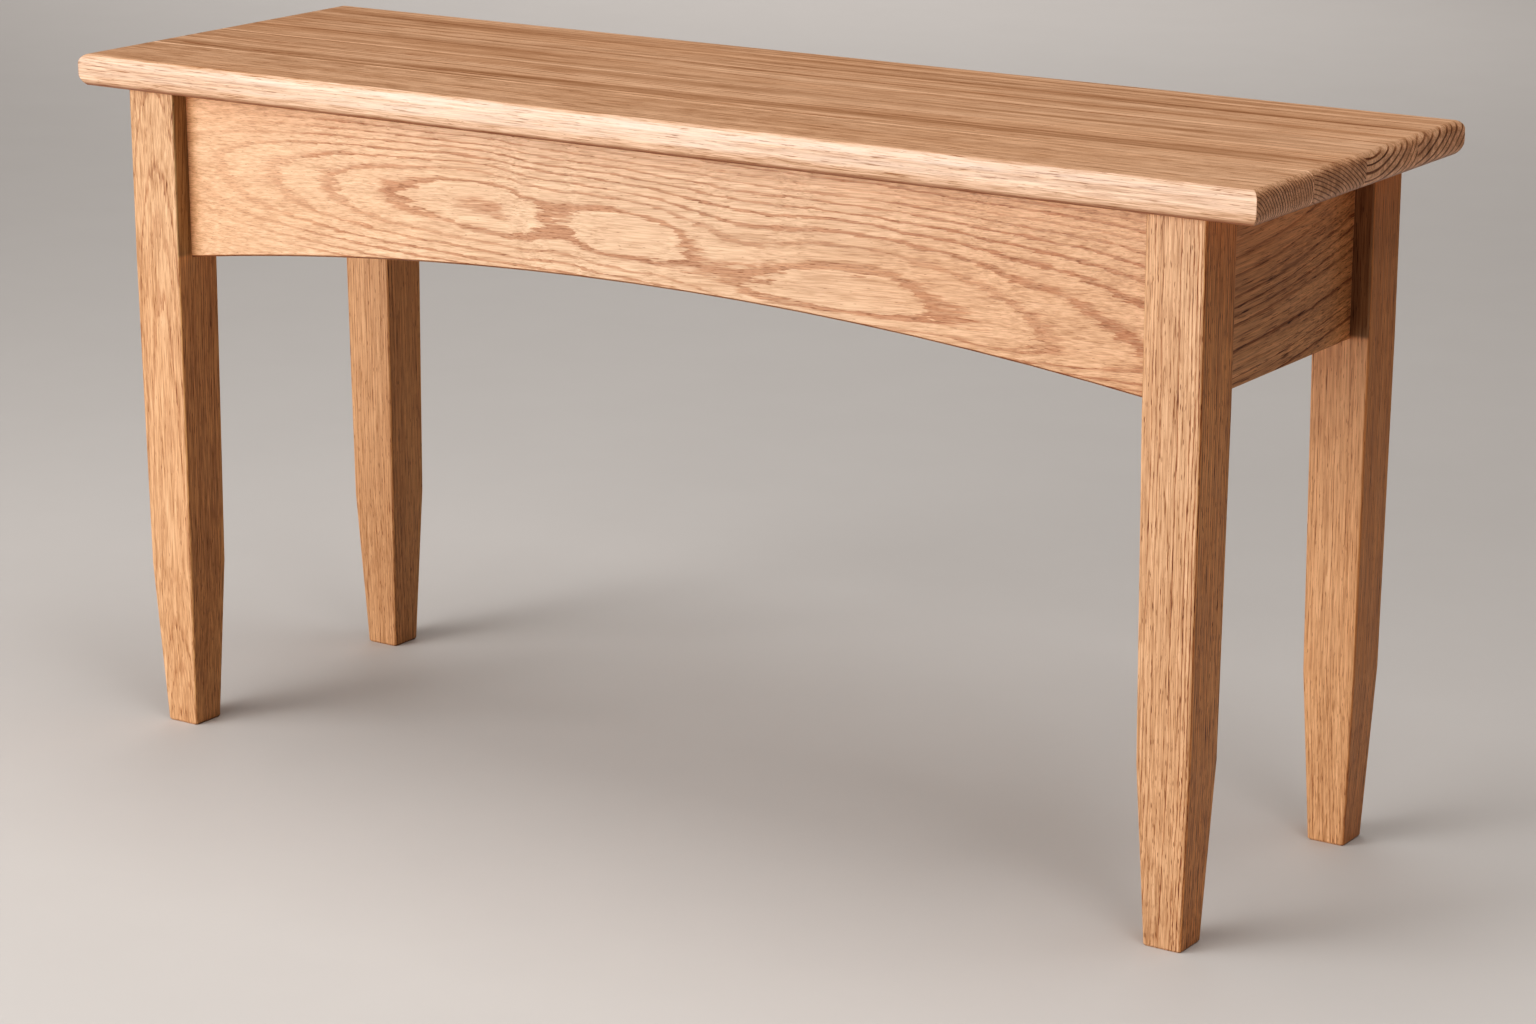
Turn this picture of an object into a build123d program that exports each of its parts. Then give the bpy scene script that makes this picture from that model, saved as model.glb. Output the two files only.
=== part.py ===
from build123d import *
import os

# Hall bench in solid oak: a seat glued up from four boards, four tapered legs,
# four aprons tenoned into them, corner blocks, and buttons that hold the seat.
# Millimetres. X runs along the bench, -Y is the front, +Z is up, and the origin
# is on the floor, under the middle of the seat.

# ---------------------------------------------------------------- dimensions
SEAT_L = 864.0            # 34 in long
SEAT_D = 273.0            # 10 3/4 in deep
SEAT_T = 20.5             # 13/16 in thick
TOTAL_H = 457.0           # 18 in high
SEAT_Z = TOTAL_H - SEAT_T           # underside of the seat

EDGE_TOP_IN = 4.5         # moulded edge: upper arris set in from the widest line
EDGE_TOP_DROP = 6.0       # and the height of its upper round
EDGE_BOT_IN = 4.0         # lower arris set in
EDGE_BOT_RISE = 8.0       # and the height of its lower round

JOINTS_Y = (-66.0, 1.0, 70.0)       # glue lines of the seat, front to back

LEG = 38.0                # leg, square at the top
LEG_OUT_X = 397.0         # outer faces of the legs
LEG_OUT_Y = 127.0
LEG_EASE = 1.6            # eased long arrises
# height above the floor and side of the square there
LEG_STEPS = ((0.0, 23.2), (1.1, 25.0), (112.0, 35.0), (322.0, LEG), (SEAT_Z, LEG))

APRON_T = 19.0            # 3/4 in boards
APRON_SET_IN = 12.7       # 1/2 in behind the outer faces of the legs
APRON_LOW = 325.5         # lower edge at the legs
ARCH_HIGH = 350.0         # lower edge of the long aprons at mid length
ARCH_CHAMFER = 1.2        # on both arrises of the arch
APRON_EASE = 1.5          # on those of the short aprons

TENON_T = 8.0
TENON_Z0, TENON_Z1 = 338.0, 412.0
TENON_GAP = 0.5           # glue gap between the mitred tenon tips

GROOVE_Z0, GROOVE_Z1 = 418.0, 424.5  # groove in the aprons for the buttons
GROOVE_DEEP = 8.0

BLOCK_IN, BLOCK_OUT = 22.0, 47.5     # corner block, measured from its corner
BLOCK_Z0, BLOCK_Z1 = 345.0, 405.0
BLOCK_SCREW_AT = 31.0
BLOCK_SCREW_SEAT = 11.0   # wood left under the screw head
BLOCK_SCREW_Z = (363.0, 387.0)       # height of the long-apron and short-apron screw

BUTTON_W = 30.0
BUTTON_L = 30.0
BUTTON_GAP = 2.0          # room for the seat to move
TONGUE = 5.5              # tongue in the groove, beyond the apron's face
BUTTON_SCREW_AT = 17.0    # from the apron's face
BUTTONS_X = (-235.0, 0.0, 235.0)     # along the long aprons
BUTTONS_Y = (-28.0, 28.0)            # along the short aprons

SHANK_R = 2.1             # no. 8 wood screws
HEAD_R = 4.0
SCREW_TIP = 4.0
ROUND_L = 24.0            # under the head
FLAT_L = 31.0             # whole length
RECESS_W, RECESS_L, RECESS_D = 1.0, 4.4, 1.6

# derived
APRON_OUT_X = LEG_OUT_X - APRON_SET_IN
APRON_OUT_Y = LEG_OUT_Y - APRON_SET_IN
APRON_IN_X = APRON_OUT_X - APRON_T
APRON_IN_Y = APRON_OUT_Y - APRON_T
LEG_IN_X = LEG_OUT_X - LEG
LEG_IN_Y = LEG_OUT_Y - LEG
LEG_X = LEG_OUT_X - LEG / 2
LEG_Y = LEG_OUT_Y - LEG / 2
TENON_OFF = APRON_SET_IN + APRON_T / 2     # tenon's middle, from the outer faces

os.makedirs("parts", exist_ok=True)


def finish_piece(builder, name):
    builder.part.label = name
    export_step(builder.part, f"parts/{name}.step")


# ---------------------------------------------------------------- wood screws
# A screw's plane has its local x radial and its local y along the screw, into
# the wood, with the origin at the seat of the head.
def screw_plane(seat, into):
    d = Vector(*into)
    r = Vector(0, 0, 1) if abs(d.Z) < 0.5 else Vector(1, 0, 0)
    return Plane(origin=seat, x_dir=r, z_dir=r.cross(d))


def recess(seat, into, depth_at):
    # cross recess, cut from the crown of the head inwards
    d = Vector(*into)
    r = Vector(0, 0, 1) if abs(d.Z) < 0.5 else Vector(1, 0, 0)
    crown = Vector(*seat) + d * depth_at
    with BuildSketch(Plane(origin=crown, x_dir=r, z_dir=d)) as cross:
        Rectangle(RECESS_L, RECESS_W)
        Rectangle(RECESS_W, RECESS_L)
    extrude(cross.sketch, amount=RECESS_D, mode=Mode.SUBTRACT)


def round_head_screw(seat, into, mode=Mode.ADD):
    with BuildSketch(screw_plane(seat, into)) as profile:
        with BuildLine():
            if mode == Mode.ADD:
                ThreePointArc((0, -3.0), (2.85, -2.1), (HEAD_R, 0))
                Polyline((HEAD_R, 0), (SHANK_R, 0), (SHANK_R, ROUND_L - SCREW_TIP),
                         (0, ROUND_L), (0, -3.0))
            else:
                Polyline((0, 0), (SHANK_R, 0), (SHANK_R, ROUND_L - SCREW_TIP),
                         (0, ROUND_L), (0, 0))
        make_face()
    revolve(profile.sketch, axis=Axis(seat, into), mode=mode)
    if mode == Mode.ADD:
        recess(seat, into, -3.0)


def flat_head_screw(seat, into, mode=Mode.ADD):
    # the seat is the flush upper face of the countersunk head
    with BuildSketch(screw_plane(seat, into)) as profile:
        with BuildLine():
            Polyline((0, 0), (HEAD_R, 0), (HEAD_R, 0.4), (SHANK_R, 2.6),
                     (SHANK_R, FLAT_L - SCREW_TIP), (0, FLAT_L), (0, 0))
        make_face()
    revolve(profile.sketch, axis=Axis(seat, into), mode=mode)
    if mode == Mode.ADD:
        recess(seat, into, 0.0)


# where the screws go: (head seat, direction into the wood)
def block_screws(sx, sy):
    kx, ky = sx * APRON_IN_X, sy * APRON_IN_Y
    long_screw = ((kx - sx * BLOCK_SCREW_AT, ky - sy * BLOCK_SCREW_SEAT, BLOCK_SCREW_Z[0]),
                  (0, sy, 0))
    short_screw = ((kx - sx * BLOCK_SCREW_SEAT, ky - sy * BLOCK_SCREW_AT, BLOCK_SCREW_Z[1]),
                   (sx, 0, 0))
    return long_screw, short_screw


BUTTONS = []              # name, point on the apron's inner face, direction inwards
for side, sy in (("front", -1), ("rear", 1)):
    for place, x in zip(("left", "middle", "right"), BUTTONS_X):
        BUTTONS.append((f"button_{side}_{place}", (x, sy * APRON_IN_Y), (0, -sy)))
for side, sx in (("left", -1), ("right", 1)):
    for place, y in zip(("front", "rear"), BUTTONS_Y):
        BUTTONS.append((f"button_{side}_{place}", (sx * APRON_IN_X, y), (-sx, 0)))

BUTTON_Z0 = GROOVE_Z0 + 0.5          # underside of a button


def button_screw(point, inward):
    return ((point[0] + inward[0] * BUTTON_SCREW_AT, point[1] + inward[1] * BUTTON_SCREW_AT,
             BUTTON_Z0), (0, 0, 1))


# ---------------------------------------------------------------- seat boards
def seat_outline(half):
    """Moulded edge of one side: from the upper arris down to the lower arris."""
    r_top = (EDGE_TOP_IN ** 2 + EDGE_TOP_DROP ** 2) / (2 * EDGE_TOP_IN)
    r_bot = (EDGE_BOT_IN ** 2 + EDGE_BOT_RISE ** 2) / (2 * EDGE_BOT_IN)
    up_mid_z = TOTAL_H - EDGE_TOP_DROP + EDGE_TOP_DROP * 0.55
    up_mid = half - r_top + (r_top ** 2 - (EDGE_TOP_DROP * 0.55) ** 2) ** 0.5
    lo_mid_z = SEAT_Z + EDGE_BOT_RISE - EDGE_BOT_RISE * 0.55
    lo_mid = half - r_bot + (r_bot ** 2 - (EDGE_BOT_RISE * 0.55) ** 2) ** 0.5
    return ((half - EDGE_TOP_IN, TOTAL_H), (up_mid, up_mid_z), (half, TOTAL_H - EDGE_TOP_DROP),
            (half, SEAT_Z + EDGE_BOT_RISE), (lo_mid, lo_mid_z), (half - EDGE_BOT_IN, SEAT_Z))


def moulded_side(half, sign):
    a, b, c, d, e, f = [(sign * u, z) for u, z in seat_outline(half)]
    ThreePointArc(a, b, c)
    Line(c, d)
    ThreePointArc(d, e, f)
    return a, f


BOARD_EDGES = (-SEAT_D / 2,) + JOINTS_Y + (SEAT_D / 2,)
BOARD_NAMES = ("top_board_front", "top_board_mid_front", "top_board_mid_rear", "top_board_rear")

for name, y0, y1 in zip(BOARD_NAMES, BOARD_EDGES[:-1], BOARD_EDGES[1:]):
    with BuildPart() as board:
        # cross-section across the bench
        with BuildSketch(Plane.YZ.offset(-SEAT_L / 2)):
            with BuildLine():
                if name == "top_board_front":
                    a, f = moulded_side(SEAT_D / 2, -1)
                    Polyline(f, (y1, SEAT_Z), (y1, TOTAL_H), a)
                elif name == "top_board_rear":
                    a, f = moulded_side(SEAT_D / 2, 1)
                    Polyline(f, (y0, SEAT_Z), (y0, TOTAL_H), a)
                else:
                    Polyline((y0, SEAT_Z), (y1, SEAT_Z), (y1, TOTAL_H), (y0, TOTAL_H),
                             (y0, SEAT_Z))
            make_face()
        extrude(amount=SEAT_L)
        # the same moulding worked across both ends, so the corners are mitred
        with BuildSketch(Plane.XZ.offset(-SEAT_D)):
            with BuildLine():
                a0, f0 = moulded_side(SEAT_L / 2, -1)
                a1, f1 = moulded_side(SEAT_L / 2, 1)
                Line(a0, a1)
                Line(f0, f1)
            make_face()
        extrude(amount=2 * SEAT_D, mode=Mode.INTERSECT)
        # pilot holes of the button screws
        for _, point, inward in BUTTONS:
            seat, into = button_screw(point, inward)
            if y0 < seat[1] < y1:
                flat_head_screw(seat, into, Mode.SUBTRACT)
    finish_piece(board, name)

# ---------------------------------------------------------------- legs
CORNERS = (("front_left", -1, -1), ("front_right", 1, -1), ("rear_left", -1, 1),
           ("rear_right", 1, 1))


def tenon_plan(sx, sy, long_apron, gap):
    """Plan of a tenon, from its shoulder to its mitred tip, or of its mortise (gap 0)."""
    cx, cy = sx * (LEG_OUT_X - TENON_OFF), sy * (LEG_OUT_Y - TENON_OFF)
    h = TENON_T / 2
    if long_apron:
        s = sx * LEG_IN_X
        return ((s, cy + sy * h), (cx + sx * (h - gap), cy + sy * h),
                (cx - sx * (h + gap), cy - sy * h), (s, cy - sy * h))
    s = sy * LEG_IN_Y
    return ((cx + sx * h, s), (cx + sx * h, cy + sy * (h - gap)),
            (cx - sx * h, cy - sy * (h + gap)), (cx - sx * h, s))


for corner, sx, sy in CORNERS:
    with BuildPart() as leg:
        for height, side in LEG_STEPS:
            with BuildSketch(Plane.XY.offset(height)):
                with Locations((sx * LEG_X, sy * LEG_Y)):
                    RectangleRounded(side, side, LEG_EASE)
        loft(ruled=True)
        # two mortises, which meet inside the leg
        with BuildSketch(Plane.XY.offset(TENON_Z0)):
            for long_apron in (True, False):
                with BuildLine():
                    pts = tenon_plan(sx, sy, long_apron, 0.0)
                    Polyline(*pts, pts[0])
                make_face()
        extrude(amount=TENON_Z1 - TENON_Z0, mode=Mode.SUBTRACT)
    finish_piece(leg, f"leg_{corner}")

# ---------------------------------------------------------------- long aprons
# the arch of the lower edge, carried on past both legs' inner faces
ARCH_R = (LEG_IN_X ** 2 + (ARCH_HIGH - APRON_LOW) ** 2) / (2 * (ARCH_HIGH - APRON_LOW))
LONG_X = LEG_IN_X + 30.0
LONG_LOW = ARCH_HIGH - ARCH_R + (ARCH_R ** 2 - LONG_X ** 2) ** 0.5

for name, sy in (("apron_front", -1), ("apron_rear", 1)):
    with BuildPart() as apron:
        near = APRON_IN_Y if sy < 0 else -APRON_OUT_Y
        with BuildSketch(Plane.XZ.offset(near)):
            with BuildLine():
                ThreePointArc((-LONG_X, LONG_LOW), (0, ARCH_HIGH), (LONG_X, LONG_LOW))
                Polyline((LONG_X, LONG_LOW), (LONG_X, SEAT_Z), (-LONG_X, SEAT_Z),
                         (-LONG_X, LONG_LOW))
            make_face()
        extrude(amount=APRON_T)
        # both arrises of the arch are chamfered, and then the board is cut to length
        chamfer(apron.edges().filter_by(GeomType.CIRCLE), length=ARCH_CHAMFER)
        with BuildSketch(Plane.XZ.offset(near - 1.0)):
            with Locations((0, APRON_LOW)):
                Rectangle(2 * LEG_IN_X, 2 * (SEAT_Z - APRON_LOW) + 2.0)
        extrude(amount=APRON_T + 2.0, mode=Mode.INTERSECT)
        # groove for the buttons, along the inner face
        with BuildSketch(Plane.XY.offset(GROOVE_Z0)):
            with Locations((0, sy * (APRON_IN_Y + GROOVE_DEEP / 2))):
                Rectangle(2 * LEG_IN_X, GROOVE_DEEP)
        extrude(amount=GROOVE_Z1 - GROOVE_Z0, mode=Mode.SUBTRACT)
        # tenons
        with BuildSketch(Plane.XY.offset(TENON_Z0)):
            for sx in (-1, 1):
                with BuildLine():
                    pts = tenon_plan(sx, sy, True, TENON_GAP)
                    Polyline(*pts, pts[0])
                make_face()
        extrude(amount=TENON_Z1 - TENON_Z0)
        for sx in (-1, 1):
            round_head_screw(*block_screws(sx, sy)[0], mode=Mode.SUBTRACT)
    finish_piece(apron, name)

# ---------------------------------------------------------------- short aprons
for name, sx in (("apron_left", -1), ("apron_right", 1)):
    with BuildPart() as apron:
        with BuildSketch(Plane.XY.offset(APRON_LOW)):
            with Locations((sx * (APRON_IN_X + APRON_T / 2), 0)):
                Rectangle(APRON_T, 2 * LEG_IN_Y)
        extrude(amount=SEAT_Z - APRON_LOW)
        fillet(apron.faces().sort_by(Axis.Z)[0].edges().filter_by(Axis.Y), radius=APRON_EASE)
        with BuildSketch(Plane.XY.offset(GROOVE_Z0)):
            with Locations((sx * (APRON_IN_X + GROOVE_DEEP / 2), 0)):
                Rectangle(GROOVE_DEEP, 2 * LEG_IN_Y)
        extrude(amount=GROOVE_Z1 - GROOVE_Z0, mode=Mode.SUBTRACT)
        with BuildSketch(Plane.XY.offset(TENON_Z0)):
            for sy in (-1, 1):
                with BuildLine():
                    pts = tenon_plan(sx, sy, False, TENON_GAP)
                    Polyline(*pts, pts[0])
                make_face()
        extrude(amount=TENON_Z1 - TENON_Z0)
        for sy in (-1, 1):
            round_head_screw(*block_screws(sx, sy)[1], mode=Mode.SUBTRACT)
    finish_piece(apron, name)

# ---------------------------------------------------------------- corner blocks
for corner, sx, sy in CORNERS:
    kx, ky = sx * APRON_IN_X, sy * APRON_IN_Y
    with BuildPart() as block:
        with BuildSketch(Plane.XY.offset(BLOCK_Z0)):
            with BuildLine():
                pts = [(kx - sx * p, ky - sy * q) for p, q in
                       ((BLOCK_IN, 0), (BLOCK_OUT, 0), (0, BLOCK_OUT), (0, BLOCK_IN))]
                Polyline(*pts, pts[0])
            make_face()
        extrude(amount=BLOCK_Z1 - BLOCK_Z0)
        chamfer(block.edges().filter_by(Axis.Z, reverse=True).filter_by(
            lambda e: abs(e.length - BLOCK_OUT * 2 ** 0.5) < 0.01), length=1.5)
        # bored flat for the screw heads, then drilled through
        for seat, into in block_screws(sx, sy):
            back = Plane(origin=seat, z_dir=(-into[0], -into[1], 0))
            with BuildSketch(back):
                Circle(HEAD_R + 0.75)
            extrude(amount=BLOCK_OUT - BLOCK_SCREW_SEAT, mode=Mode.SUBTRACT)
            round_head_screw(seat, into, mode=Mode.SUBTRACT)
    finish_piece(block, f"corner_block_{corner}")

with BuildPart() as screws:
    for _, sx, sy in CORNERS:
        for seat, into in block_screws(sx, sy):
            round_head_screw(seat, into)
finish_piece(screws, "corner_block_screws")

# ---------------------------------------------------------------- buttons
for name, point, inward in BUTTONS:
    with BuildPart() as button:
        side = Plane(origin=(point[0], point[1], 0), x_dir=(inward[0], inward[1], 0),
                     z_dir=Vector(inward[0], inward[1], 0).cross(Vector(0, 0, 1)))
        with BuildSketch(side):
            with BuildLine():
                Polyline((-TONGUE, BUTTON_Z0), (BUTTON_GAP + BUTTON_L, BUTTON_Z0),
                         (BUTTON_GAP + BUTTON_L, SEAT_Z), (BUTTON_GAP, SEAT_Z),
                         (BUTTON_GAP, GROOVE_Z1), (-TONGUE, GROOVE_Z1), (-TONGUE, BUTTON_Z0))
            make_face()
        extrude(amount=BUTTON_W / 2, both=True)
        far = button.faces().filter_by(lambda f: abs(f.center().Z - (BUTTON_Z0 + SEAT_Z) / 2) < 0.01
                                       and abs(f.normal_at().Z) < 0.1
                                       and f.normal_at().dot(Vector(inward[0], inward[1], 0)) > 0.9)
        chamfer(far.edges().group_by(Axis.Z)[0], length=1.5)
        flat_head_screw(*button_screw(point, inward), mode=Mode.SUBTRACT)
    finish_piece(button, name)

with BuildPart() as screws:
    for _, point, inward in BUTTONS:
        flat_head_screw(*button_screw(point, inward))
finish_piece(screws, "button_screws")
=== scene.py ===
import math

import bpy
from mathutils import Matrix, Vector

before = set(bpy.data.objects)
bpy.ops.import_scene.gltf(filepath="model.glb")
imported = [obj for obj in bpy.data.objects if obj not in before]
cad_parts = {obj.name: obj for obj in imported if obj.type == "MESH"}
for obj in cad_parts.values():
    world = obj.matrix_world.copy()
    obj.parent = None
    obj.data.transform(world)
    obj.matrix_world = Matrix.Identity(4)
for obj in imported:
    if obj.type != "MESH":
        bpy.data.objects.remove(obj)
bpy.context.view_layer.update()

# Hall bench in solid oak. Metres, in the frame of the CAD parts: X along the bench,
# -Y to the front, +Z up. Each piece of wood has its own grain: its direction, the place
# of the tree's pith, and its ring width give the figure on every face of the piece.


# ------------------------------------------------------------- sums in node trees
class Val:
    """A number or vector in a node tree, so that sums can be written as sums."""

    def __init__(self, sheet, socket):
        self.sheet, self.socket = sheet, socket

    def __add__(self, o):
        return self.sheet.math("ADD", self, o)

    __radd__ = __add__

    def __sub__(self, o):
        return self.sheet.math("SUBTRACT", self, o)

    def __rsub__(self, o):
        return self.sheet.math("SUBTRACT", o, self)

    def __mul__(self, o):
        return self.sheet.math("MULTIPLY", self, o)

    __rmul__ = __mul__

    def __truediv__(self, o):
        return self.sheet.math("DIVIDE", self, o)


class Sheet:
    """One material's node tree."""

    def __init__(self, material):
        self.tree = material.node_tree
        self.tree.nodes.clear()

    def node(self, kind, **settings):
        n = self.tree.nodes.new(kind)
        for key, value in settings.items():
            setattr(n, key, value)
        return n

    def feed(self, socket, value):
        if isinstance(value, Val):
            self.tree.links.new(value.socket, socket)
        else:
            socket.default_value = value

    def math(self, operation, a, b=0.0, c=0.0, clamp=False):
        n = self.node("ShaderNodeMath", operation=operation, use_clamp=clamp)
        for socket, value in zip(n.inputs, (a, b, c)):
            self.feed(socket, value)
        return Val(self, n.outputs[0])

    def dot(self, a, direction):
        n = self.node("ShaderNodeVectorMath", operation="DOT_PRODUCT")
        self.feed(n.inputs[0], a)
        self.feed(n.inputs[1], direction)
        return Val(self, n.outputs["Value"])

    def vector(self, x, y, z):
        n = self.node("ShaderNodeCombineXYZ")
        for socket, value in zip(n.inputs, (x, y, z)):
            self.feed(socket, value)
        return Val(self, n.outputs[0])

    def step(self, value, low, high):
        """0 below low, 1 above high, smooth between; low may be above high."""
        n = self.node("ShaderNodeMapRange", interpolation_type="SMOOTHSTEP")
        self.feed(n.inputs["Value"], value)
        self.feed(n.inputs["From Min"], low)
        self.feed(n.inputs["From Max"], high)
        return Val(self, n.outputs["Result"])

    def noise(self, vector, detail=2.0, rough=0.5):
        n = self.node("ShaderNodeTexNoise", noise_dimensions="3D")
        self.feed(n.inputs["Vector"], vector)
        n.inputs["Scale"].default_value = 1.0
        n.inputs["Detail"].default_value = detail
        n.inputs["Roughness"].default_value = rough
        return Val(self, n.outputs[0])

    def cells(self, vector):
        n = self.node("ShaderNodeTexVoronoi", voronoi_dimensions="3D", feature="F1")
        self.feed(n.inputs["Vector"], vector)
        n.inputs["Scale"].default_value = 1.0
        return Val(self, n.outputs["Distance"]), Val(self, n.outputs["Color"])

    def through(self, where, points):
        """A smooth curve through (place, value) points."""
        places, values = zip(*points)
        p0, p1, v0, v1 = places[0], places[-1], min(values), max(values)
        n = self.node("ShaderNodeFloatCurve")
        curve = n.mapping.curves[0]
        for k, (place, value) in enumerate(points):
            spot = ((place - p0) / (p1 - p0), (value - v0) / (v1 - v0))
            if k < 2:
                curve.points[k].location = spot
            else:
                curve.points.new(*spot)
        n.mapping.update()
        self.feed(n.inputs["Value"], (where - p0) * (1.0 / (p1 - p0)))
        return Val(self, n.outputs[0]) * (v1 - v0) + v0

    def chance(self, value):
        n = self.node("ShaderNodeTexWhiteNoise", noise_dimensions="1D")
        self.feed(n.inputs["W"], value)
        return Val(self, n.outputs["Value"])

    def mix(self, factor, a, b, kind="MIX"):
        n = self.node("ShaderNodeMix", data_type="RGBA", blend_type=kind, clamp_factor=True)
        self.feed(n.inputs[0], factor)
        for socket, value in zip((n.inputs[6], n.inputs[7]), (a, b)):
            self.feed(socket, value if isinstance(value, Val) else (*value, 1.0))
        return Val(self, n.outputs[2])

    def tinted(self, colour, by):
        n = self.node("ShaderNodeVectorMath", operation="MULTIPLY")
        self.feed(n.inputs[0], colour)
        self.feed(n.inputs[1], by)
        return Val(self, n.outputs[0])

    def scaled(self, colour, factor):
        n = self.node("ShaderNodeVectorMath", operation="SCALE")
        self.feed(n.inputs[0], colour)
        self.feed(n.inputs["Scale"], factor)
        return Val(self, n.outputs[0])


# ------------------------------------------------------------- oak
X, Y, Z = Vector((1, 0, 0)), Vector((0, 1, 0)), Vector((0, 0, 1))


def oak(name, along, pith, ring, seed, pale=(0.705, 0.436, 0.268), dark=(0.410, 0.205, 0.112),
        contrast=1.0, bow=None, jag=1.0, wander=1.0, pores=1.0, band=0.30, rough=0.40,
        tone=1.0, fibre=1.0, end_dark=0.62, streaks=(), blunt=2.0, shear=(0.0, 0.0),
        lean=0.0, uneven=1.3, end_contrast=1.2, broad=1.0, spread=0.50, dashes=0.25,
        faces=(), painted_seat_shadow=None, painted_falloff=0.0, calm=(), painted_highlight_face=None,
        end_deep=0.45, painted_under_shade=0.0, warm=(), settle=None):
    """Oak whose rings lie round a pith that runs nearly along the grain.

    along is the grain's direction, pith two coordinates across it, in metres, ring the
    width of a ring, and bow the pith's offset as two lists of polynomial terms in the
    distance along the grain, or as points of two curves. spread is how much the rings
    differ in darkness, and broad is the strength of the wide streaks. blunt over 2 squares
    the rings' curves off, shear slants their fronts about a height, and lean turns the
    fibres against the board. streaks are bands of colour on the board: place across, half
    width, strength, middle and reach. dashes is the strength of the short dark lines.
    faces are tints of the surfaces that look one way: direction, tint, how ragged it is, and
    the height above which it holds; they give cuts at other angles their colour, and also carry
    painted shade and painted highlight. calm is a curve of the rings' darkness along the grain.
    painted_highlight_face is a round that looks one way, painted pale as a highlight, with the strength of
    that painted highlight, and under is how dark the round below an edge is painted, as shade.
    warm is a curve of how warm the wood is along the grain, and settle is the straight line, by
    its height and slope, that the rings settle to away from the pith.
    seam is the height band at the top of an apron that is painted as a near-black line, the
    seat's contact shadow, and fade is how much darker the wood is painted towards its far end, a
    painted falloff of light, lighter there where negative.
    """
    material = bpy.data.materials.new(name)
    material.use_nodes = True
    s = Sheet(material)
    here = Val(s, s.node("ShaderNodeTexCoord").outputs["Object"])
    normal = Val(s, s.node("ShaderNodeNewGeometry").outputs["Normal"])
    facing = s.dot(normal, along)
    end = s.step(facing * facing, 0.25, 0.9)
    side = 1.0 - end

    if abs(along.z) > 0.9:
        across_a, across_b = X, Y
    else:
        across_a, across_b = Vector((-along.y, along.x, 0)), Z
    length = s.dot(here, along)
    place_a = s.dot(here, across_a)
    a = place_a - pith[0]
    place_b = s.dot(here, across_b)
    b = place_b - pith[1]
    if bow:
        along_a = length
        if shear[0]:
            slant = s.through(length, shear[0]) if isinstance(shear[0], list) else shear[0]
            rise = s.math("TANH", (place_b - shear[1]) * 45.0) * (1.0 / 45.0)
            along_a = length + rise * slant
        offsets = []
        for terms, where in zip(bow, (along_a, length)):
            if isinstance(terms[0], tuple):
                offsets.append(s.through(where, terms))
                continue
            total = terms[-1]
            for term in reversed(terms[:-1]):      # Horner's rule
                total = where * total + term
            offsets.append(total)
        a = a - offsets[0]
        if settle:
            far = length * settle[1] + settle[0]
            off = (place_b - offsets[1]) * 32.0
            near = s.math("EXPONENT", off * off * -1.0)
            b = b - (far + (offsets[1] - far) * near)
        else:
            b = b - offsets[1]
    leaning = place_b - length * lean if lean else b

    sx, sy, sz = seed * 3.17, seed * 1.31 + 5.0, seed * 2.23 - 7.0

    def grain_space(unit_length, unit_across, shift=0.0):
        return s.vector(length * (1.0 / unit_length) + (sx + shift),
                        a * (1.0 / unit_across) + (sy + shift),
                        leaning * (1.0 / unit_across) + (sz - shift))

    # the pith wanders a little along the tree
    drift_a = s.noise(s.vector(length * 4.5 + sx, sy, 0.0), 1.0) - 0.5
    drift_b = s.noise(s.vector(length * 4.5 + sz, sx, 3.0), 1.0) - 0.5
    a2 = a + drift_a * (0.010 * wander)
    b2 = b + drift_b * (0.010 * wander)
    if blunt == 2.0:
        radius = s.math("SQRT", a2 * a2 + b2 * b2)
    else:
        powers = (s.math("POWER", s.math("ABSOLUTE", a2 * 20.0), blunt)
                  + s.math("POWER", s.math("ABSOLUTE", b2 * 20.0), blunt))
        radius = s.math("POWER", powers, 1.0 / blunt) * 0.05
    # rings out of round, then the ragged edge that fibres give each ring
    round_off = (s.noise(grain_space(0.16, 0.05), 1.0) - 0.5) * (0.006 * wander)
    ragged = ((s.noise(grain_space(0.034, 0.0030, 9.0), 3.0, 0.62) - 0.5) * (0.0034 * jag)
              + (s.noise(grain_space(0.012, 0.0009, 4.0), 1.0) - 0.5) * (0.0013 * jag))
    radius = radius + round_off + ragged * (side * 0.8 + 0.2)
    count = radius * (1.0 / ring)
    count = count + (s.noise(s.vector(radius * 75.0, sy, sx), 1.0) - 0.5) * uneven
    part = s.math("FRACT", count)
    which = s.math("FLOOR", count)
    strength = s.chance(which + seed * 17.0) * (2.0 * spread) + (1.12 - 2.0 * spread)
    strength = s.math("MAXIMUM", strength, end * 0.7)
    early = s.step(part, 0.0, 0.06) * s.step(part, band + 0.09, band - 0.14)
    early = early * strength
    if calm:
        early = early * s.through(length, calm)

    fibres = s.step(s.noise(grain_space(0.045, 0.0015, 2.0), 3.0, 0.64), 0.26, 0.74)
    hairs = s.step(s.noise(grain_space(0.024, 0.00070, 6.0), 2.0, 0.62), 0.33, 0.67)
    dash = s.step(s.noise(grain_space(0.020, 0.00085, 21.0), 2.0, 0.55), 0.585, 0.66)
    cloud = s.noise(grain_space(0.22, 0.030, 1.0), 2.0)
    wide = s.step(s.noise(grain_space(0.26, 0.0056, 14.0), 2.0, 0.6), 0.30, 0.70)

    shade = (early * (end * (end_contrast - contrast) + contrast)
             * ((fibres * 1.3 + 0.42) * side + end * 0.9))
    colour = s.mix(shade, pale, dark)
    colour = s.scaled(colour, 1.0 - early * end * end_deep)
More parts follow.
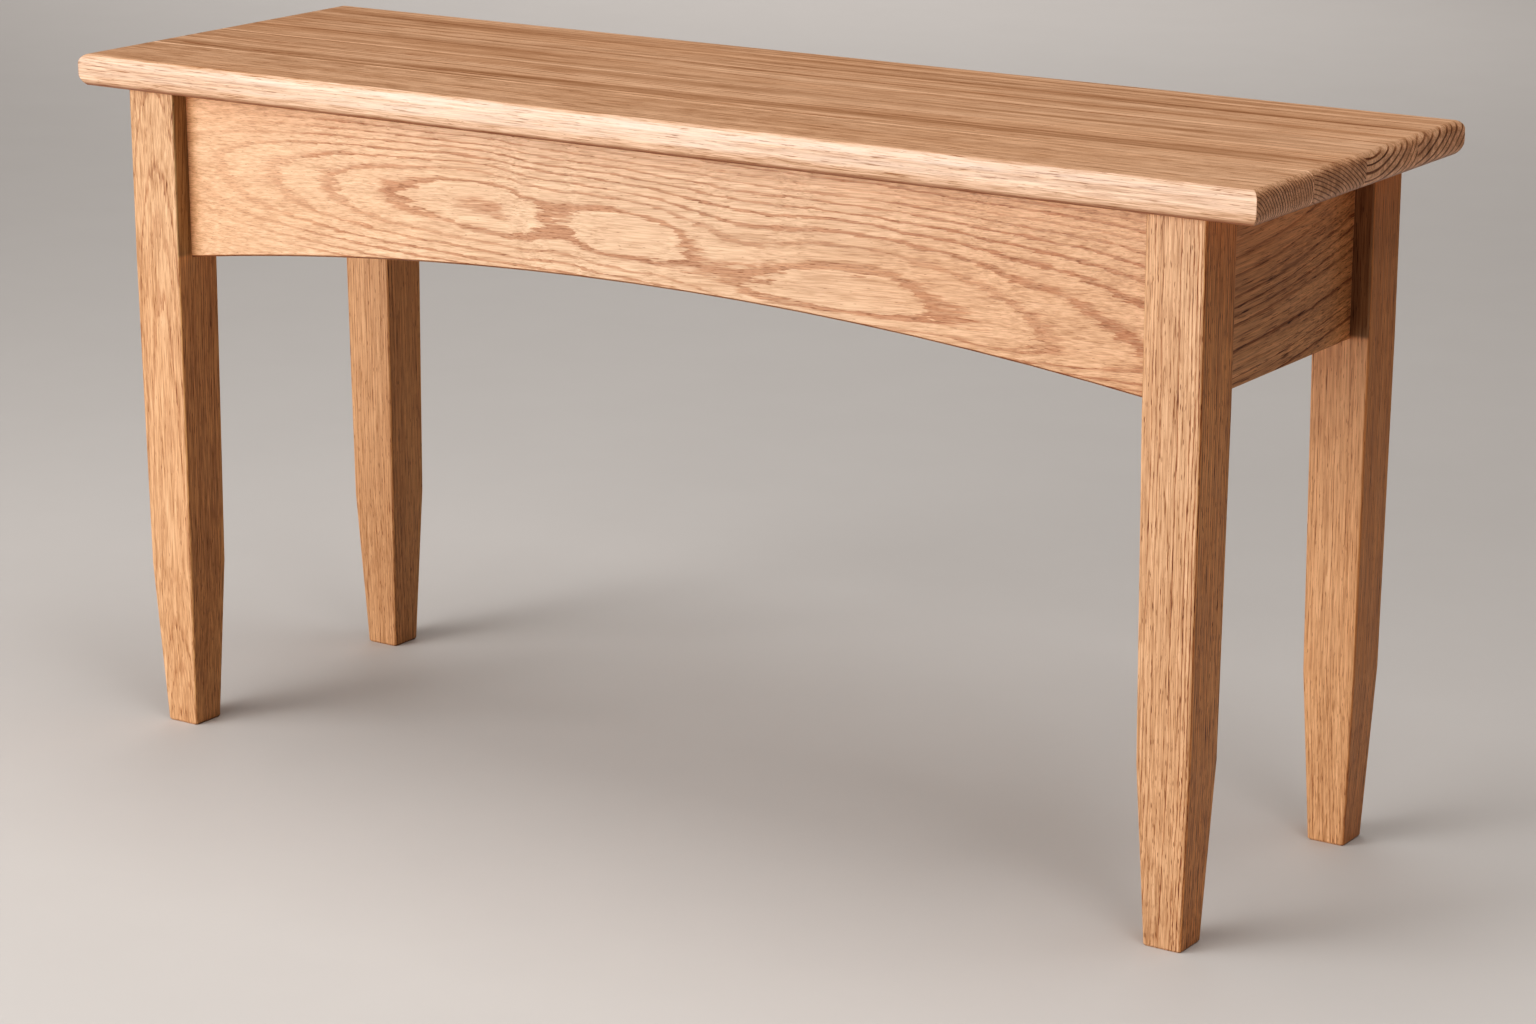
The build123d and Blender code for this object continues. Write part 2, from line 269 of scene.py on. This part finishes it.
    # slow changes from warm to pinkish and from light to dark
    colour = s.mix(s.step(cloud, 0.30, 0.75) * 0.40, colour,
                   tuple(c * k for c, k in zip(pale, (0.90, 0.81, 0.73))))
    light = ((fibres - 0.5) * (0.24 * fibre) + (hairs - 0.5) * (0.30 * fibre)
             + (wide - 0.5) * (0.16 * broad) + 1.0)
    light = light - dash * (early * 0.5 + 0.5) * (dashes * 1.1)
    # painted falloff of light: the wood is painted darker towards its far end, and lighter there where the
    # value is negative
    if painted_falloff:
        light = light - (length + 0.05) * painted_falloff
    if streaks:
        sway = (s.noise(s.vector(length * 3.2 + sz, place_a * 60.0, sx), 2.0) - 0.5) * 0.008
        total = 0.0
        for place, half, amount, middle, reach in streaks:
            off = (place_a + sway * min(1.0, half * 300.0) - place) * (1.0 / half)
            hump = s.math("EXPONENT", off * off * -1.0) * amount
            if reach:
                hump = hump * s.step(s.math("ABSOLUTE", length - middle), reach, reach * 0.55)
            total = hump + total
        light = light * (1.0 - total * (fibres * 0.9 + 0.55))
    # darker fibres are redder as well
    colour = s.tinted(colour, s.vector(light * tone, light * (1.18 * tone) - 0.18 * tone,
                                       light * (1.36 * tone) - 0.36 * tone))

    if warm:
        heat = s.through(length, warm)
        colour = s.tinted(colour, s.vector(1.0 - heat * 0.02, 1.0 - heat * 0.15, 1.0 - heat * 0.24))

    # open pores: short dark dashes along the grain, crowded in the early wood
    near, kind = s.cells(grain_space(0.0100, 0.00115, 3.0))
    size = early * 0.20 + (0.16 * pores)
    lucky = s.step(s.dot(kind, Vector((1, 0, 0))), 0.42, 0.66)
    pore = s.step(near, size, size * 0.45) * lucky
    near2, kind2 = s.cells(grain_space(0.0060, 0.00068, 8.0))
    size2 = early * 0.24 + (0.11 * pores)
    pore2 = s.step(near2, size2, size2 * 0.4)
    pit = s.math("MAXIMUM", pore, pore2 * 0.6)
    colour = s.mix(pit * (0.70 * pores), colour, (0.17, 0.066, 0.027))

    # surfaces that look one way are tinted: cuts at other angles to the rings differ in colour, and the same
    # tints are painted shade in the legs' corners and a painted highlight on the seat's front
    for way, tint, rags, above in faces:
        mask = s.step(s.dot(normal, way) + (fibres - 0.5) * rags, 0.35, 0.80)
        if above:
            mask = mask * s.step(place_b if across_b == Z else length, above, above + 0.003)
        colour = s.mix(mask, colour, s.tinted(colour, tint))
    # painted highlight: a pale, ragged band on the round that looks one way, fainter towards the board's
    # ends
    if painted_highlight_face:
        turned = s.dot(normal, painted_highlight_face[0])
        rags = (fibres - 0.5) * 0.42 + (hairs - 0.5) * 0.34 - dash * 0.3
        mask = s.step(turned + rags, 0.32, 0.86) * s.step(turned + rags, 1.40, 1.00)
        mask = mask * s.step(s.dot(normal, Z), -0.25, 0.15)
        mask = mask * (s.step(s.noise(grain_space(0.060, 0.004, 31.0), 2.0), 0.30, 0.62) * 0.75 + 0.25)
        mask = mask * (s.step(length, -0.40, -0.22) * 0.6 + 0.4) * (s.step(length, 0.42, 0.05) * 0.6 + 0.4)
        colour = s.mix(mask * painted_highlight_face[1], colour, (0.91, 0.69, 0.57))
    # painted shade: the round below an edge, turned downwards, is darkened to a deep brown
    if painted_under_shade:
        down = s.dot(normal, -Z)
        mask = s.step(down, 0.40, 0.74) * s.step(down, 0.999, 0.97) * side
        colour = s.mix(mask * painted_under_shade, colour, (0.150, 0.038, 0.009))

    # end grain drinks in more of the finish
    colour = s.scaled(colour, 1.0 - end * (1.0 - end_dark))
    # painted shadow: the seat's contact shadow, a near-black line along the top of the apron
    if painted_seat_shadow:
        line = s.step(place_b if across_b == Z else length, painted_seat_shadow[0], painted_seat_shadow[1])
        colour = s.mix(line * 0.92, colour, (0.040, 0.016, 0.007))

    # arrises: slightly burnished and darker where the finish gathers
    bevel = s.node("ShaderNodeBevel", samples=4)
    bevel.inputs["Radius"].default_value = 0.0011
    turn = s.node("ShaderNodeVectorMath", operation="DOT_PRODUCT")
    s.tree.links.new(bevel.outputs[0], turn.inputs[0])
    s.tree.links.new(normal.socket, turn.inputs[1])
    arris = s.step(Val(s, turn.outputs["Value"]), 0.995, 0.86)
    worn = arris * s.step(fibres, 0.30, 0.6)
    colour = s.mix(worn * 0.42, colour, tuple(c * k for c, k in zip(pale, (0.62, 0.46, 0.34))))

    shine = (fibres - 0.5) * 0.20 + pit * 0.22 + early * 0.07 + end * 0.14 - worn * 0.08 + rough
    relief = fibres * 0.34 + hairs * 0.20 - pit * 1.0 - early * 0.35

    bump = s.node("ShaderNodeBump")
    bump.inputs["Strength"].default_value = 0.6
    bump.inputs["Distance"].default_value = 0.00018
    s.feed(bump.inputs["Height"], relief)
    s.tree.links.new(bevel.outputs[0], bump.inputs["Normal"])

    shader = s.node("ShaderNodeBsdfPrincipled")
    s.feed(shader.inputs["Base Color"], colour)
    s.feed(shader.inputs["Roughness"], shine)
    s.tree.links.new(bump.outputs[0], shader.inputs["Normal"])
    shader.inputs["Specular IOR Level"].default_value = 0.38
    shader.inputs["Coat Weight"].default_value = 0.22
    shader.inputs["Coat Roughness"].default_value = 0.30
    out = s.node("ShaderNodeOutputMaterial")
    s.tree.links.new(shader.outputs[0], out.inputs["Surface"])
    return material


def steel(name):
    """Zinc-plated steel, dulled a little by handling."""
    material = bpy.data.materials.new(name)
    material.use_nodes = True
    s = Sheet(material)
    here = Val(s, s.node("ShaderNodeTexCoord").outputs["Object"])
    fine = s.noise(s.scaled(here, 1400.0), 3.0, 0.6)
    wide = s.noise(s.scaled(here, 160.0), 2.0)
    colour = s.mix(s.step(wide, 0.35, 0.7), (0.56, 0.55, 0.52), (0.44, 0.42, 0.38))
    shader = s.node("ShaderNodeBsdfPrincipled")
    s.feed(shader.inputs["Base Color"], colour)
    s.feed(shader.inputs["Roughness"], fine * 0.16 + wide * 0.14 + 0.22)
    shader.inputs["Metallic"].default_value = 1.0
    bump = s.node("ShaderNodeBump")
    bump.inputs["Strength"].default_value = 0.35
    bump.inputs["Distance"].default_value = 0.00004
    s.feed(bump.inputs["Height"], fine)
    s.tree.links.new(bump.outputs[0], shader.inputs["Normal"])
    out = s.node("ShaderNodeOutputMaterial")
    s.tree.links.new(shader.outputs[0], out.inputs["Surface"])
    return material


def dress(node, material):
    """Puts a material in every slot of a CAD node."""
    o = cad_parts[node]
    if not o.material_slots:
        o.data.materials.append(material)
    for slot in o.material_slots:
        slot.material = material


# ------------------------------------------------------------- the pieces' wood
SEAT = (0.690, 0.397, 0.246), (0.385, 0.171, 0.086)
LEG = (0.670, 0.357, 0.189), (0.370, 0.154, 0.070)


def nook(side_way, depth_way, ray_cut_and_shade_tint):
    """The tints of a leg's faces. Those that look along the bench are ray cuts, and differ in
    warmth; on those that look along +X, the tint rays is partly that and partly painted shade,
    matched to these faces on the bench's shaded side. Beside the aprons, above 0.326 m, the faces
    in the corner are darkened: painted shade."""
    return [(X, ray_cut_and_shade_tint, 0.2, None), (-X, (0.98, 0.91, 0.80), 0.2, None),
            (side_way, (0.56, 0.66, 0.70), 0.1, 0.326),
            (depth_way, (0.47, 0.50, 0.48), 0.1, 0.326)]


# the heights of the seat's painted contact shadow on the aprons
UNDER_SEAT = (0.4340, 0.4358)

# seat boards, by the curves of the rings on their ends, and by the streaks on the top
# painted highlights: the thin light streaks at the board joints, and the front board's paler, cooler front
# faces and pale round
dress("top_board_front", oak(
    "oak_board_front", X, (-0.150, 0.418), 0.0026, 1.0, *SEAT, contrast=0.45, jag=1.2, wander=0.8, broad=1.5,
    end_dark=0.88, end_contrast=2.4, end_deep=0.66, fibre=1.45, dashes=0.60, faces=[(-Y, (1.05, 1.12, 1.20), 0.3, None)],
    painted_highlight_face=(-Y, 0.50), painted_under_shade=0.8, painted_falloff=-0.16, streaks=[(-0.0668, 0.0013, -0.45, 0.0, 0.0), (-0.092, 0.008, 0.06, 0.1, 0.3),
                            (-0.078, 0.005, 0.05, -0.2, 0.3)]))
dress("top_board_mid_front", oak(
    "oak_board_mid_front", X, (-0.105, 0.300), 0.0024, 2.0, *SEAT, contrast=0.85, jag=0.6, wander=0.8, broad=2.4, painted_under_shade=0.8, painted_falloff=-0.16,
    end_dark=0.88, end_contrast=2.4, end_deep=0.66, streaks=[(-0.0635, 0.0024, 0.34, -0.30, 0.20), (-0.047, 0.0055, 0.34, 0.10, 0.40),
                            (-0.036, 0.0030, 0.20, 0.28, 0.30), (-0.052, 0.0030, 0.22, -0.28, 0.24),
                            (-0.022, 0.0045, -0.12, 0.0, 0.40), (-0.008, 0.0040, 0.16, -0.1, 0.36)]))
dress("top_board_mid_rear", oak(
    "oak_board_mid_rear", X, (0.010, 0.500), 0.0046, 3.0, *SEAT, contrast=0.75, jag=0.6, wander=0.8, broad=2.4, painted_under_shade=0.8, painted_falloff=-0.16,
    end_dark=1.08, end_contrast=2.4, end_deep=0.66, streaks=[(0.0020, 0.0014, -0.26, -0.20, 0.36), (0.012, 0.0040, 0.20, 0.08, 0.38),
                            (0.032, 0.0060, 0.14, -0.2, 0.34), (0.041, 0.0040, -0.10, 0.1, 0.40),
                            (0.056, 0.0035, 0.20, 0.16, 0.34)]))
dress("top_board_rear", oak(
    "oak_board_rear", X, (0.052, 0.520), 0.0052, 4.0, *SEAT, contrast=0.70, jag=0.6, wander=0.8, broad=2.4, painted_under_shade=0.8, painted_falloff=-0.16,
    end_dark=1.08, end_contrast=2.4, end_deep=0.66, streaks=[(0.0720, 0.0014, -0.20, -0.2, 0.34), (0.086, 0.0032, 0.38, 0.18, 0.34),
                            (0.102, 0.0045, 0.20, -0.12, 0.34), (0.118, 0.0040, 0.14, 0.22, 0.30)]))

# front apron: the pith lies behind the face, deepest at the left. It comes nearer in three
# waves, which close the rings there into flames, and it dips towards the right
depths = [(-0.36, 9.1), (-0.331, 8.15), (-0.285, 7.15), (-0.234, 6.15), (-0.187, 5.15),
          (-0.148, 4.60), (-0.112, 4.27), (-0.090, 4.56), (-0.071, 5.10), (-0.056, 5.24),
          (-0.038, 4.90), (0.000, 4.50), (0.040, 4.92), (0.066, 5.20), (0.082, 5.16),
          (0.102, 4.88), (0.155, 4.44), (0.212, 4.95), (0.240, 5.30), (0.274, 6.14),
          (0.325, 7.14), (0.36, 8.0)]
heights = [(-0.36, 0.389), (-0.234, 0.3855), (-0.116, 0.3865), (-0.071, 0.382), (-0.01, 0.3805),
           (0.045, 0.371), (0.09, 0.3640), (0.155, 0.3640), (0.21, 0.3625), (0.26, 0.3565),
           (0.36, 0.3520)]
RING = 0.0042
# painted falloff of light: fade darkens this apron towards the right, away from the lamps
dress("apron_front", oak(
    "oak_apron_front", X, (0.0, 0.0), RING, 5.0,
    bow=([(x, -0.1143 + n * RING) for x, n in depths], heights),
    blunt=2.8, shear=([(-0.36, 0.62), (-0.14, 0.64), (-0.05, 0.20), (0.04, -1.10), (0.09, -0.90),
                       (0.18, 0.55), (0.36, 1.00)], 0.377),
    lean=0.05, contrast=1.20, jag=0.95, wander=0.55, uneven=0.40, spread=0.34, band=0.33,
    pale=(0.712, 0.448, 0.285), dark=(0.440, 0.212, 0.117), painted_seat_shadow=UNDER_SEAT, painted_falloff=0.17,
    painted_under_shade=0.75,
    dashes=0.30, settle=(0.380, -0.022),
    warm=[(-0.36, 0.95), (-0.22, 0.62), (-0.05, 0.20), (0.10, 0.28), (0.25, 0.85), (0.36, 0.95)],
    calm=[(-0.36, 0.22), (-0.29, 0.36), (-0.245, 0.80), (-0.19, 1.0), (0.0, 1.0), (0.22, 0.92),
          (0.36, 0.80)]))
dress("apron_rear", oak(
    "oak_apron_rear", X, (0.0, 0.0), 0.0036, 6.0,
    bow=([0.1143 - 0.042, 0.012, -0.19], [0.385, 0.060, -0.03]),
    contrast=1.1, jag=1.2, wander=0.5, painted_seat_shadow=UNDER_SEAT))
# the right apron, on the bench's shaded side, has more saturated wood with a darker dark and a lower tone
# than the left one: partly its own board, partly painted shade
dress("apron_right", oak(
    "oak_apron_right", Y, (0.0, 0.0), 0.0062, 7.0, (0.735, 0.385, 0.188), (0.340, 0.124, 0.043),
    bow=([-0.3843 + 0.020, 0.05, 0.5], [0.425, 0.07, 0.4]),
    contrast=1.25, jag=0.9, wander=1.6, uneven=3.4, broad=2.0, spread=0.44, dashes=0.75, band=0.22,
    tone=0.86, painted_seat_shadow=UNDER_SEAT, painted_under_shade=0.6))
dress("apron_left", oak(
    "oak_apron_left", Y, (0.0, 0.0), 0.0046, 8.0, *LEG,
    bow=([0.3843 - 0.030, -0.02, -0.3], [0.400, -0.20, 0.2]),
    contrast=1.0, jag=1.0, wander=0.9, uneven=2.0, dashes=0.35, painted_seat_shadow=UNDER_SEAT))

# legs: the front left one is sawn flat to its front, the others show lines on both faces
dress("leg_front_left", oak(
    "oak_leg_front_left", Z, (-0.3765, -0.0870), 0.0016, 11.0, *LEG, contrast=0.62, jag=0.5,
    bow=([0.0], [0.0, 0.0, 0.0, 0.0, 0.22]), wander=0.12, pores=1.1, dashes=0.50, fibre=1.4, tone=0.93,
    warm=[(0.0, -0.05), (0.10, 0.05), (0.22, 0.15), (0.33, -0.10), (0.43, -0.35)],
    faces=nook(X, Y, (0.94, 0.95, 0.81))))
dress("leg_front_right", oak(
    "oak_leg_front_right", Z, (0.520, 0.020), 0.0018, 12.0, (0.690, 0.382, 0.214), (0.370, 0.154, 0.070),
    contrast=1.12, jag=0.50, wander=0.25, pores=1.5, fibre=1.30, dashes=0.70, tone=0.968,
    faces=nook(-X, Y, (1.00, 0.86, 0.62))))
dress("leg_rear_left", oak(
    "oak_leg_rear_left", Z, (-0.500, 0.010), 0.0018, 13.0, *LEG, contrast=0.75, jag=0.45,
    wander=0.25, pores=1.3, dashes=0.50, tone=0.90,
    faces=nook(X, -Y, (0.99, 1.01, 0.86))))
dress("leg_rear_right", oak(
    "oak_leg_rear_right", Z, (0.500, -0.010), 0.0018, 14.0, *LEG, contrast=0.65, jag=0.45,
    wander=0.25, pores=1.1, dashes=0.55, tone=1.05,
    faces=nook(-X, -Y, (0.87, 0.74, 0.54))))

# corner blocks, with the grain along their long faces, and buttons, with it along the tongue
for k, (node, way) in enumerate((("corner_block_front_left", Vector((1, -1, 0))),
                                 ("corner_block_front_right", Vector((1, 1, 0))),
                                 ("corner_block_rear_left", Vector((1, 1, 0))),
                                 ("corner_block_rear_right", Vector((1, -1, 0))))):
    dress(node, oak("oak_" + node, way.normalized(), (0.02 * k - 0.03, 0.30), 0.0032, 21.0 + k,
                    *LEG, contrast=0.8, jag=0.8, rough=0.52))
for k, node in enumerate(sorted(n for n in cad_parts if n.startswith("button_")
                                and n != "button_screws")):
    way = X if node.startswith(("button_left", "button_right")) else Y
    dress(node, oak("oak_" + node, way, (0.04 * k, 0.36 + 0.01 * (k % 3)), 0.0030, 31.0 + k,
                    *LEG, contrast=0.8, jag=0.8, rough=0.52))

zinc = steel("zinc_plated_steel")
dress("corner_block_screws", zinc)
dress("button_screws", zinc)


# ------------------------------------------------------------- floor, light and camera
def ground():
    size = 30.0
    mesh = bpy.data.meshes.new("floor")
    mesh.from_pydata([(-size, -size, 0), (size, -size, 0), (size, size, 0), (-size, size, 0)],
                     [], [(0, 1, 2, 3)])
    o = bpy.data.objects.new("floor", mesh)
    bpy.context.scene.collection.objects.link(o)
    material = bpy.data.materials.new("floor_paint")
    material.use_nodes = True
    s = Sheet(material)
    here = Val(s, s.node("ShaderNodeTexCoord").outputs["Object"])
    patch = s.noise(s.scaled(here, 9.0), 4.0, 0.6)
    shader = s.node("ShaderNodeBsdfPrincipled")
    s.feed(shader.inputs["Base Color"], s.mix(patch, (0.528, 0.498, 0.478), (0.553, 0.523, 0.502)))
    shader.inputs["Roughness"].default_value = 0.75
    shader.inputs["Specular IOR Level"].default_value = 0.25
    # seen from below, the floor is clear, so that the underside shows
    clear = s.node("ShaderNodeBsdfTransparent")
    below = s.node("ShaderNodeMixShader")
    s.tree.links.new(s.node("ShaderNodeNewGeometry").outputs["Backfacing"], below.inputs[0])
    s.tree.links.new(shader.outputs[0], below.inputs[1])
    s.tree.links.new(clear.outputs[0], below.inputs[2])
    out = s.node("ShaderNodeOutputMaterial")
    s.tree.links.new(below.outputs[0], out.inputs["Surface"])
    mesh.materials.append(material)
    return o


def area_light(name, place, target, size, power, colour):
    data = bpy.data.lights.new(name, "AREA")
    data.shape = "RECTANGLE"
    data.size, data.size_y = size
    data.energy = power
    data.color = colour
    o = bpy.data.objects.new(name, data)
    bpy.context.scene.collection.objects.link(o)
    o.location = place
    o.rotation_euler = (Vector(target) - Vector(place)).to_track_quat("-Z", "Y").to_euler()
    o.visible_camera = False
    return o


floor = ground()
area_light("key", (-0.70, -2.7, 1.45), (0.0, 0.0, 0.28), (2.2, 1.2), 34.5, (1.0, 0.985, 0.965))
area_light("low", (-1.10, -2.2, 0.54), (0.0, 0.0, 0.28), (1.6, 0.8), 25.0, (1.0, 0.985, 0.965))
area_light("left", (-1.70, -2.0, 2.15), (0.0, -0.1, 0.45), (1.7, 2.2), 34.0, (1.0, 0.98, 0.955))
area_light("overhead", (0.3, 0.0, 3.2), (0.3, 0.0, 0.0), (3.6, 2.8), 72.5, (1.0, 0.98, 0.955))
area_light("right", (2.3, -0.5, 1.1), (0.3, 0.0, 0.35), (1.2, 1.2), 1.6, (1.0, 0.98, 0.955))
# two lights for the far and the right part of the floor only
far_light = area_light("far_floor", (-2.28, 3.32, 1.8), (-2.28, 3.32, 0.0), (3.0, 1.5), 42.5,
                       (1.0, 0.975, 0.95))
right_light = area_light("right_floor", (1.9, -1.3, 1.1), (1.6, -1.1, 0.0), (0.9, 0.9), 15.0,
                         (1.0, 0.985, 0.965))
only_floor = bpy.data.collections.new("only_floor")
only_floor.objects.link(floor)
for light in (far_light, right_light):
    light.light_linking.receiver_collection = only_floor

world = bpy.data.worlds.new("studio")
bpy.context.scene.world = world
world.use_nodes = True
background = world.node_tree.nodes["Background"]
background.inputs["Color"].default_value = (0.62, 0.58, 0.545, 1.0)
background.inputs["Strength"].default_value = 0.045

YAW, PITCH = math.radians(33.62), math.radians(15.44)
FOCAL_PIXELS, FRAME_WIDTH = 3994.93, 1536.0
camera_data = bpy.data.cameras.new("camera")
camera_data.sensor_width = 36.0
camera_data.sensor_fit = "HORIZONTAL"
camera_data.lens = FOCAL_PIXELS * 36.0 / FRAME_WIDTH
camera = bpy.data.objects.new("camera", camera_data)
bpy.context.scene.collection.objects.link(camera)
forward = Vector((-math.sin(YAW) * math.cos(PITCH), math.cos(YAW) * math.cos(PITCH),
                  -math.sin(PITCH)))
side = Vector((math.cos(YAW), math.sin(YAW), 0.0))
up = side.cross(forward)
turn = Matrix((side, up, -forward)).transposed()
camera.matrix_world = Matrix.Translation((1.39278, -2.06083, 0.86623)) @ turn.to_4x4()
bpy.context.scene.camera = camera

view = bpy.context.scene.view_settings
view.view_transform = "Standard"
view.look = "None"
# the contrast of a studio print: the lower tones are pulled down a little
view.use_curve_mapping = True
curve = view.curve_mapping.curves[3]
for low, high in ((0.02, 0.0070), (0.05, 0.026), (0.10, 0.070), (0.20, 0.180), (0.35, 0.355),
                  (0.50, 0.520), (0.70, 0.730)):
    curve.points.new(low, high)
view.curve_mapping.update()
